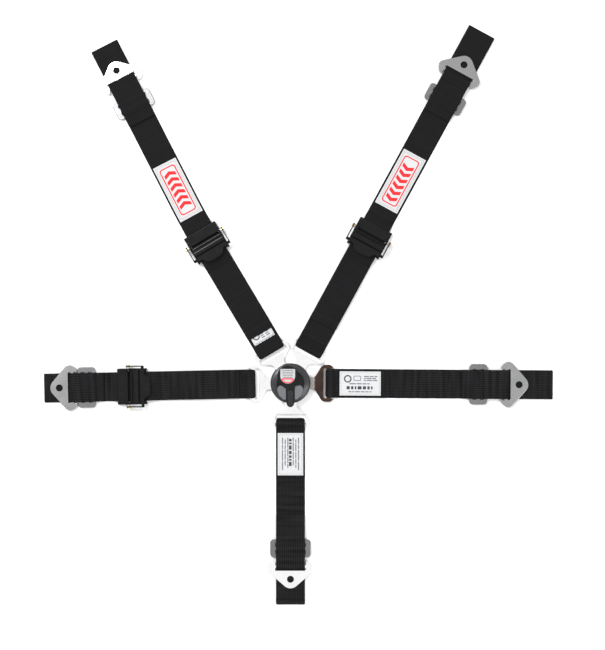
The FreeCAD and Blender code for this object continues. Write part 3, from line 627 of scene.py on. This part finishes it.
def stitch_row(first, second, z, stitch, gap):
    """The stitches of a straight seam between two (s, across) points."""
    start, finish = Vector(first), Vector(second)
    length = (finish - start).length
    count = max(1, round(length / (stitch + gap)))
    pitch = length / count
    way = (finish - start).normalized()
    rows = []
    for number in range(count):
        a = start + way * (pitch * number + gap / 2)
        b = start + way * (pitch * (number + 1) - gap / 2)
        rows.append(((a.x, a.y, z), (b.x, b.y, z)))
    return rows


def zigzag(s, z, rise=4.0, half=21.5, pitch=3.4):
    """A bar of zigzag stitches across the strap at one distance."""
    count = round(2 * half / pitch)
    marks = []
    for number in range(count):
        a = -half + 2 * half * number / count
        b = -half + 2 * half * (number + 1) / count
        low, high = (s, s + rise) if number % 2 == 0 else (s + rise, s)
        marks.append(((low, a, z), (high, b, z)))
    return marks


def outline_seam(shape, strap, low, high, half, z, stitch, gap, radius):
    """A line of stitches round a rectangle."""
    corners = [(low, -half), (high, -half), (high, half), (low, half)]
    marks = []
    for index, corner in enumerate(corners):
        marks += stitch_row(corner, corners[(index + 1) % 4], z, stitch, gap)
    stitches(shape, strap, marks, radius)


def make_web(name, strap, body, route, node, settle=None, inner=None):
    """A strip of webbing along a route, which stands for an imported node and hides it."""
    shape = Shape()
    length = ribbon(shape, strap, route, settle, inner)
    piece = shape.finish(name, strap.cloth, body, "webbing")
    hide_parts(node)


def make_seam(name, strap, body, marks):
    """Sewing thread on the webbing."""
    shape = Shape()
    stitches(shape, strap, marks)
    shape.finish(name, "thread", body)


# heights of the middle of each layer where an adjusted strap is stacked
LOWER_BAR = 8.7
TAIL = 4.5
TAIL_HEM = 6.2
BARREL = 10.7


def make_lower_web(strap):
    """From the tongue's loop to the adjuster's fixed bar, sewn back under the pull tail."""
    name, barrel = strap.name, strap.barrel
    loop_end = min(165, barrel - 95)
    route = [
        (barrel - 84, SECOND),
        (barrel - 32, SECOND, 8),
        (barrel - 18, LOWER_BAR, 3),
        (barrel - 10, LOWER_BAR, 4),
        (barrel - 10, FIRST, 4),
    ]
    route += reversed(tongue_loop(strap.tongue_bar, loop_end))
    inner = strap.tongue_bar - TONGUE_LOOP - WEB / 2
    body = f"strap_{name}"
    make_web(f"web_lower_{name}", strap, body, route, f"lower_web_{name}", inner=inner)
    # the first seam keeps clear of the pull tail's end
    room = 24 if strap.tail > strap.tongue_bar + 54 else 20
    top = SECOND + WEB / 2
    marks = zigzag(strap.tongue_bar + room, top) + zigzag(loop_end - 8, top)
    make_seam(f"loop_seam_{name}", strap, body, marks)


def make_pull_tail(strap):
    """The loose end: doubled at its hem, then up beside the adjuster's bar to the barrel."""
    name, barrel, tail = strap.name, strap.barrel, strap.tail
    route = [
        (tail + 85, TAIL),
        (tail + WEB / 2, TAIL, 0.85),
        (tail + WEB / 2, TAIL_HEM, 0.85),
        (tail + 90, TAIL_HEM, 8),
        (tail + 100, TAIL, 8),
        (barrel - 40, TAIL, 10),
        (barrel - 22, BARREL, 8),
        (barrel - 4, BARREL),
    ]
    settle = ripple(tail + 95, barrel - 30, 1.6, 23.0, 3.1) if name == "lap_left" else None
    body = f"strap_{name}"
    make_web(f"web_tail_{name}", strap, body, route, f"pull_tail_{name}", settle)
    top = TAIL_HEM + WEB / 2
    make_seam(f"hem_seam_{name}", strap, body, zigzag(tail + 76, top) + zigzag(tail + 12, top, 3.0))


def make_upper_web(strap):
    """From inside the barrel, down and out along the floor to the mounting end."""
    name, barrel = strap.name, strap.barrel
    route = [
        (barrel - 3, BARREL),
        (barrel - 0.27, BARREL, 4),
        (barrel + 5.93, TAIL, 5),
        (barrel + 38, TAIL, 8),
        (barrel + 50, FIRST, 8),
        *mounting_end(strap),
    ]
    settle = ripple(barrel + 36, strap.slide - 8, 1.8, 21.0, 7.7) if name == "lap_left" else None
    body = f"adjuster_{name}"
    make_web(f"web_upper_{name}", strap, body, route, f"upper_web_{name}", settle)


def make_plain_web(strap):
    """One length of webbing from the tongue's loop to the mounting end."""
    name = strap.name
    settle = ripple(170, strap.fold - 4, 1.7, 25.0, 1.3 if name == "crotch" else 5.2)
    route = tongue_loop(strap.tongue_bar, 165) + mounting_end(strap)
    inner = strap.tongue_bar - TONGUE_LOOP - WEB / 2
    body = f"strap_{name}"
    make_web(f"web_whole_{name}", strap, body, route, f"web_{name}", settle, inner)
    top = SECOND + WEB / 2
    marks = zigzag(strap.tongue_bar + 14, top, 3.0) + zigzag(160, top, 3.0)
    make_seam(f"loop_seam_{name}", strap, body, marks)


for strap_name in ADJUSTED:
    make_lower_web(STRAPS[strap_name])
    make_pull_tail(STRAPS[strap_name])
    make_upper_web(STRAPS[strap_name])
for strap_name in PLAIN:
    make_plain_web(STRAPS[strap_name])


# ---- sewn labels and shoulder patches ----


def label_span(node, strap, outer):
    """A label's start, end, half width and underside on its strap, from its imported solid."""
    origin, direction = (strap.corner, strap.outer) if outer else (Vector(), strap.inner)
    low, high = reach(node, origin, direction)
    across = reach(node, origin, UP.cross(direction))
    base = strap.bend_at if outer else 0.0
    bottom = min(vertex.co.z for vertex in frame["nodes"][node].data.vertices) / MM
    return base + low, base + high, (across[1] - across[0]) / 2, bottom


def sewn_sheet(name, node, strap, body, outer=False):
    """A thin woven label: crowned a little, with soft edges and gently puckered between its stitches.

    It gives the label's start, end and half width, and the height of its face.
    """
    low, high, half, bottom = label_span(node, strap, outer)
    thickness, crowning, edge_thickness = 0.4, 0.16, 0.12
    columns, rows = 24, max(8, round((high - low) / 3.0))
    points, flat = [], []
    for layer in (1, -1):
        for row in range(rows + 1):
            for column in range(columns + 1):
                s = low + (high - low) * row / rows
                w = -half + 2 * half * column / columns
                edge = min(s - low, high - s, half - abs(w))
                pucker = 0.10 * noise.noise(Vector((s / 7.0, w / 7.0, low)))
                crown = crowning * min(1.0, edge / 5.0)
                z = bottom + thickness / 2 + crown + pucker * min(1.0, edge / 3.0)
                thick = thickness if edge > 0.01 else edge_thickness
                points.append(strap.place(s, w, z + layer * thick / 2))
                flat.append((w, s - low, layer))
    wide, count = columns + 1, (rows + 1) * (columns + 1)
    faces = []
    for row in range(rows):
        for column in range(columns):
            a = row * wide + column
            quad = (a, a + 1, a + 1 + wide, a + wide)
            faces += [quad[::-1], tuple(index + count for index in quad)]
    rim = list(range(wide)) + [row * wide + columns for row in range(1, rows + 1)]
    rim += [rows * wide + column for column in range(columns - 1, -1, -1)]
    rim += [row * wide for row in range(rows - 1, 0, -1)]
    for first, second in zip(rim, rim[1:] + rim[:1]):
        faces.append((first, second, second + count, first + count))
    shape = Shape()
    shape.add(points, faces, flat)
    piece = shape.finish(name, "label", body, "label_white", smooth=50)
    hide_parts(node)
    return low, high, half, bottom + thickness + crowning


def printed(shape, strap, outline, z, holes=()):
    """A thin inked or embroidered shape on a label, outlined in (s, across)."""
    prism(shape, outline, z, z + 0.09, strap.place, holes=holes)


def frame_outline(low, high, left, right, radius):
    """A rectangle with rounded corners."""
    corners = [(low, left), (low, right), (high, right), (high, left)]
    return rounded([(*corner, radius) for corner in corners], 6)


def make_patch(strap):
    """The white shoulder patch: a red rounded frame and a row of plain red chevrons."""
    name = strap.name
    body = f"adjuster_{name}"
    outer = strap.bend_at > 0
    low, high, half, top = sewn_sheet(f"patch_{name}_cloth", f"patch_{name}", strap, body, outer)
    red = Shape()
    line = 2.0
    first, last, side = low + 8.0, high - 8.0, half - 7.0
    inside = frame_outline(first + line, last - line, -side + line, side - line, 3.6)
    printed(red, strap, frame_outline(first, last, -side, side, 5.0), top, holes=[inside])
    margin, wing, count = 9.0, side - 4.2, 6
    pitch = (last - first - 2 * margin) / count
    width = pitch * 0.55
    lean = 5.0 if name == "shoulder_left" else -5.0
    for number in range(count):
        s = first + margin + pitch * (number + 0.12)
        near = [(s, -wing), (s + lean, 0), (s, wing)]
        far = [(s + width, wing), (s + width + lean, 0), (s + width, -wing)]
        printed(red, strap, near + far, top)
    red.finish(f"patch_{name}_motif", "red_thread", body, "label_white", smooth=20)
    thread = Shape()
    for gap in (2.6, 4.8):
        outline_seam(thread, strap, low + gap, high - gap, half - gap, top - 0.1, 2.6, 0.8, 0.26)
    thread.finish(f"patch_{name}_seam", "label_thread", body, "label_white")


def make_data_label(strap, name, body, draw_print):
    """A white data label: a stitched edge and plain shapes where the print goes."""
    piece_name = f"data_label_{name.split('_')[0]}"
    low, high, half, top = sewn_sheet(piece_name, f"label_{name}", strap, body)
    grey, black = Shape(), Shape()
    draw_print(strap, grey, black, low, high, half, top)
    grey.finish(f"{piece_name}_lines", "grey_ink", body, "label_white", smooth=20)
    black.finish(f"{piece_name}_emblem", "ink", body, "label_white", smooth=20)
    thread = Shape()
    gap = 2.4
    outline_seam(thread, strap, low + gap, high - gap, half - gap, top - 0.1, 2.4, 1.6, 0.24)
    thread.finish(f"{piece_name}_seam", "label_thread", body, "label_white")


def dashes(strap, shape, s, w, end, height, z, words, gap=1.3):
    """A line of print, shown as plain bars of uneven length."""
    weights = [2 + (number * 7 + round(w)) % 4 for number in range(words)]
    room = end - s - gap * (words - 1)
    for weight in weights:
        length = room * weight / sum(weights)
        printed(shape, strap, frame_outline(s, s + length, w, w + height, 0.2 * height), z)
        s += length + gap


def plain_ring(strap, shape, s, w, radius, line, z):
    """A printed ring, in two halves that meet."""
    for start in (0, 180):
        printed(shape, strap, band((s, w), radius, radius - line, start, start + 180, 16), z)


def lap_label_print(strap, grey, black, low, high, half, top):
    """A plain ring and a plain frame beside three short lines, one bold line and two small ones."""
    plain_ring(strap, black, low + 14.0, 8.0, 6.6, 2.2, top)
    inside = frame_outline(low + 25.2, low + 35.8, 5.8, 12.2, 1.0)
    printed(grey, strap, frame_outline(low + 24.0, low + 37.0, 4.6, 13.4, 2.0), top, holes=[inside])
    for number, w in enumerate((11.2, 7.8, 4.4)):
        dashes(strap, grey, low + 42, w, high - 6 - 2 * (number % 2), 1.9, top, 3)
    dashes(strap, grey, low + 17, -1.4, low + 52, 1.9, top, 4)
    dashes(strap, black, low + 12, -10.2, high - 14, 5.6, top, 7, 2.2)
    dashes(strap, grey, low + 15, -15.2, high - 16, 1.8, top, 6)


def crotch_label_print(strap, grey, black, low, high, half, top):
    """Lines of small print over a bold line, read along the strap."""
    for number in range(7):
        w = half - 9.0 - number * 4.6
        if number == 3:
            dashes(strap, black, low + 10, w - 1.8, high - 16, 4.6, top, 7, 2)
        else:
            start, end = low + 8 + 3 * (number % 2), high - 9 - 4 * (number % 3)
            dashes(strap, grey, start, w, end, 1.8, top, 4 + number % 2)


def shoulder_label_print(strap, grey, black, low, high, half, top):
    """Short lines of print across the strap, beside a plain ring."""
    for number in range(5):
        s = low + 5.5 + number * 3.4
        for part in range(2):
            start = -half + 6 + part * 10 + number % 2
            end = start + 7.4 - (number + part) % 3
            printed(grey, strap, frame_outline(s, s + 1.7, start, end, 0.3), top)
    plain_ring(strap, black, low + 13.0, half - 10.0, 6.2, 2.0, top)


make_patch(STRAPS["shoulder_left"])
make_patch(STRAPS["shoulder_right"])
make_data_label(STRAPS["lap_right"], "lap_right", "strap_lap_right", lap_label_print)
make_data_label(STRAPS["crotch"], "crotch", "strap_crotch", crotch_label_print)
make_data_label(STRAPS["shoulder_left"], "shoulder_left", "strap_shoulder_left", shoulder_label_print)


# ---- the camlock ----


BADGE = (-4.5, 12.6)


def flat_place(x, y, z):
    return Vector((x, y, z)) * MM


def turned(shape, profile, segments=96):
    """A closed profile of (radius, z) points turned about the buckle's axis."""
    points = []
    for step in range(segments):
        angle = 2 * math.pi * step / segments
        for radius, z in profile:
            points.append(flat_place(radius * math.cos(angle), radius * math.sin(angle), z))
    count = len(profile)
    faces = []
    for step in range(segments):
        a, b = step * count, (step + 1) % segments * count
        for index in range(count):
            following = (index + 1) % count
            faces.append((a + index, b + index, b + following, a + following))
    shape.add(points, faces)


def make_camlock_cover():
    """The hollow domed cover, with a thin rim and a turned step round the handle's seat."""
    low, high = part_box("buckle_cover")
    outer, bottom, top = high[0] / MM, low[2] / MM, high[2] / MM
    ceiling, wall, bore = top - 4.4, outer - 3, 17.5
    dome = []
    for degrees in range(0, 91, 15):
        angle = math.radians(degrees)
        dome.append((outer - 3.2 + 3.2 * math.cos(angle), top - 7.6 + 5.2 * math.sin(angle)))
    rim = [
        (outer - 0.6, bottom),
        (outer, bottom + 0.6),
        (outer, bottom + 2.2),
        (outer - 0.5, bottom + 2.8),
        (outer - 0.5, bottom + 3.4),
        (outer - 0.1, bottom + 3.9),
    ]
    step = [
        (outer - 4.6, top - 2.2),
        (outer - 7.5, top - 0.9),
        (25.6, top - 0.3),
        (25.0, top),
        (bore + 0.7, top),
        (bore, top - 0.7),
    ]
    shape = Shape()
    turned(shape, [(bore, ceiling), (wall, ceiling), (wall, bottom), *rim, *dome, *step])
    piece = shape.finish("camlock_cover", "cover", "root", "cover_black", smooth=40)
    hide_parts("buckle_cover")


def handle_plate(name, material, outlines, low, high, bevel):
    """Plates of the release handle between two heights."""
    shape = Shape()
    for outline in outlines:
        prism(shape, outline, low, high, flat_place, bevel)
    shape.finish(name, material, "handle", "handle_grey", smooth=40)


def make_handle():
    """The release handle: a round base, a collar round the badge, two thumb pads and the stalk."""
    low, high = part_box("release_handle")
    base, top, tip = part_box("buckle_cover")[1][2] / MM + 0.6, high[2] / MM, low[1] / MM
    inner, outer = 0.5, 24.0
    disc = Shape()
    turned(disc, [
        (inner, base),
        (outer - 0.6, base),
        (outer, base + 0.6),
        (outer, base + 2.4),
        (outer - 1.0, base + 3.2),
        (outer - 1.8, base + 3.2),
        (outer - 2.4, base + 2.6),
        (inner, base + 2.6),
    ])
    piece = disc.finish("handle_base", "rim", "handle", "handle_grey", smooth=40)
    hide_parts("release_handle")
    half = 6.6
    collar = [
        *arc((-4.5, 13.0), 18.0, -58, 238, 40),
        (-16.0, -2.5),
        (-half - 1.2, -9.0),
        (-half, -14.0),
        (-half, tip + 6.4),
        *arc((0, tip + 6.4), 6.4, 180, 360, 12),
        (half, -14.0),
        (half + 0.6, -9.0),
        (8.6, -3.5),
    ]
    left_pad = [(-7.6, -5.5, 2.5), (-19.5, -3.2, 4), (-23.0, -10.0, 5), (-19.0, -21.0, 6),
                (-10.5, -28.6, 4), (-7.6, -27.0, 1.5)]
    right_pad = [(7.6, -5.0, 2.5), (18.0, -2.8, 4), (22.0, -9.0, 5), (18.4, -20.5, 6),
                 (10.4, -28.2, 4), (7.6, -26.6, 1.5)]
    pads = [rounded(left_pad, 6), rounded(right_pad, 6)]
    ridge = rounded([(-4.9, -12.0, 2), (4.9, -12.0, 2), (4.6, tip + 2.0, 4.2), (-4.6, tip + 2.0, 4.2)], 8)
    handle_plate("handle_collar", "rim", [collar], base + 1.4, top - 0.5, 0.9)
    handle_plate("handle_pads", "pad", pads, base + 1.0, base + 4.4, 0.9)
    handle_plate("handle_stalk", "stalk", [ridge], top - 0.9, top - 0.1, 0.35)


def badge_mark(shape, outline, z):
    """A thin print on the badge."""
    prism(shape, outline, z, z + 0.05, flat_place)


def make_badge():
    """A plain badge with a flat top and a round foot: grey lines over a red band and arc."""
    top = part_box("release_handle")[1][2] / MM
    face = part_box("handle_insert")[1][2] / MM - 0.12
    x, y = BADGE
    radius, head = 12.6, y + 12.3
    outline = [(x - radius, head - 0.8), *arc(BADGE, radius, 180, 360, 24), (x + radius, head - 0.8)]
    outline += [(x + radius - 0.8, head), (x - radius + 0.8, head)]
    plate = Shape()
    prism(plate, outline, top - 0.6, face, flat_place, bevel=0.12)
    piece = plate.finish("badge_plate", "badge", "handle", "badge", smooth=40)
    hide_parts("handle_insert")
    grey, red = Shape(), Shape()
    for number in range(5):
        half = 10.2 - 0.5 * number
        foot = y + 9.3 - 3.0 * number
        corners = [(x - half, foot), (x + half, foot), (x + half, foot + 0.9), (x - half, foot + 0.9)]
        badge_mark(grey, rounded([(*corner, 0.3) for corner in corners], 3), face)
    corners = [(x - 10.6, y - 5.6), (x + 10.6, y - 5.6), (x + 9.6, y - 3.6), (x - 9.6, y - 3.6)]
    badge_mark(red, rounded([(*corner, 0.5) for corner in corners], 3), face)
    badge_mark(red, band(BADGE, 12.1, 10.4, 205, 335, 26), face)
    grey.finish("badge_lines", "badge_grey", "handle", "badge", smooth=20)
    red.finish("badge_band", "red_ink", "handle", "badge", smooth=20)


def coil(centre, radius, low, high, turns=5, steps=16):
    """The points of an upright coil, in metres."""
    line = []
    for step in range(turns * steps + 1):
        angle = 2 * math.pi * step / steps
        rise = low + (high - low) * step / (turns * steps)
        line.append((centre + Vector((radius * math.cos(angle), radius * math.sin(angle), rise))) * MM)
    return line


def make_pin_springs():
    """A small coil over each lock pin, built at one fixed length; the real spring closes up as the pin rises.
    """
    low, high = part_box("pin_springs")
    bottom, top, wire = low[2] / MM, high[2] / MM, 0.4
    node = frame["nodes"]["pin_springs"]
    shape = Shape()
    for name in ADJUSTED + ["crotch"]:
        way = STRAPS[name].inner
        near, far = pin_reach(node, way)
        line = coil(way * ((near + far) / 2), (far - near) / 2 - wire, bottom + wire, top - wire)
        tube(shape, line, 0.35)
    piece = shape.finish("lock_pin_coils", "inner", "root", "inner_steel")
    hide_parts("pin_springs")
    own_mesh(piece)


def pin_reach(node, way):
    """The nearest and farthest distance along a strap of the coil that stands on its line."""
    side, nearest, aside = UP.cross(way), 10, 8
    points = [vertex.co / MM for vertex in node.data.vertices]
    spans = [point.dot(way) for point in points if abs(point.dot(side)) < aside and point.dot(way) > nearest]
    return min(spans), max(spans)


make_camlock_cover()
make_handle()
make_badge()
make_pin_springs()


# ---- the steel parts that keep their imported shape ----

FINISHES = [
    ("tongue_lap_right", "dark_tongue"),
    ("tongue_", "chrome_and_lit_bracket"),
    # painted light: these two brackets are the same satin steel part as the others, and the bright chrome
    # stands in for the brighter light on them
    ("bracket_shoulder_left", "chrome_and_lit_bracket"),
    ("bracket_crotch", "chrome_and_lit_bracket"),
    ("bracket_", "satin"),
    ("slide_", "slide"),
    ("lever_rivets", "brass"),
    ("lever_springs", "inner"),
    ("adjuster_", "black_steel"),
    ("lock_bar", "black_steel"),
    ("buckle_body", "cover"),
]


def finish_nodes():
    """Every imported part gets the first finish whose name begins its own."""
    for name, node in frame["nodes"].items():
        finish = next((material for start, material in FINISHES if name.startswith(start)), "inner")
        if not node.material_slots:
            node.data.materials.append(None)
        for slot in node.material_slots:
            slot.material = MATERIALS[finish]


finish_nodes()


# ---- floor, light and camera ----


def make_floor():
    """A plain pale floor."""
    mesh = bpy.data.meshes.new("floor")
    far, level = 40.0, -0.0002
    corners = [(-far, -far, level), (far, -far, level), (far, far, level), (-far, far, level)]
    mesh.from_pydata(corners, [], [(0, 1, 2, 3)])
    floor = bpy.data.objects.new("floor", mesh)
    bpy.context.scene.collection.objects.link(floor)
    shader = Shader("floor")
    shader.surface.inputs["Base Color"].default_value = (0.93, 0.93, 0.93, 1)
    shader.surface.inputs["Roughness"].default_value = 0.9
    mesh.materials.append(shader.material)


def area_light(name, place, size, power, target):
    """A square soft light that looks at a point."""
    light = bpy.data.lights.new(name, "AREA")
    light.shape = "SQUARE"
    light.size = size
    light.energy = power
    lamp = bpy.data.objects.new(name, light)
    lamp.location = place
    lamp.rotation_euler = (Vector(target) - Vector(place)).to_track_quat("-Z", "Y").to_euler()
    bpy.context.scene.collection.objects.link(lamp)


def make_light():
    """Surroundings that are white overhead and dark at the horizon, with two large soft lights above."""
    world = bpy.data.worlds.new("studio")
    world.use_nodes = True
    tree = world.node_tree
    background = tree.nodes["Background"]
    coordinates = tree.nodes.new("ShaderNodeTexCoord")
    split = tree.nodes.new("ShaderNodeSeparateXYZ")
    ramp = tree.nodes.new("ShaderNodeValToRGB")
    horizon, zenith = ramp.color_ramp.elements
    horizon.position, horizon.color = 0.10, (0.09, 0.088, 0.085, 1)
    zenith.position, zenith.color = 0.62, (1, 1, 1, 1)
    ramp.color_ramp.elements.new(0.38).color = (0.52, 0.515, 0.51, 1)
    tree.links.new(coordinates.outputs["Generated"], split.inputs[0])
    tree.links.new(split.outputs[2], ramp.inputs[0])
    tree.links.new(ramp.outputs[0], background.inputs["Color"])
    background.inputs["Strength"].default_value = 1.0
    bpy.context.scene.world = world
    area_light("key", (-1.0, 1.1, 2.3), 0.9, 52, (0, 0.1, 0))
    area_light("fill", (1.5, -0.9, 2.1), 1.2, 26, (0, 0.1, 0))


def make_camera():
    """A long lens straight above, its view centred a little above and right of the buckle."""
    data = bpy.data.cameras.new("camera")
    data.lens = 100
    data.sensor_width = 36
    camera = bpy.data.objects.new("camera", data)
    camera.location = (0.0208, 0.1003, 3.124)
    bpy.context.scene.collection.objects.link(camera)
    bpy.context.scene.camera = camera


make_floor()
make_light()
make_camera()
bpy.context.scene.view_settings.view_transform = "Standard"
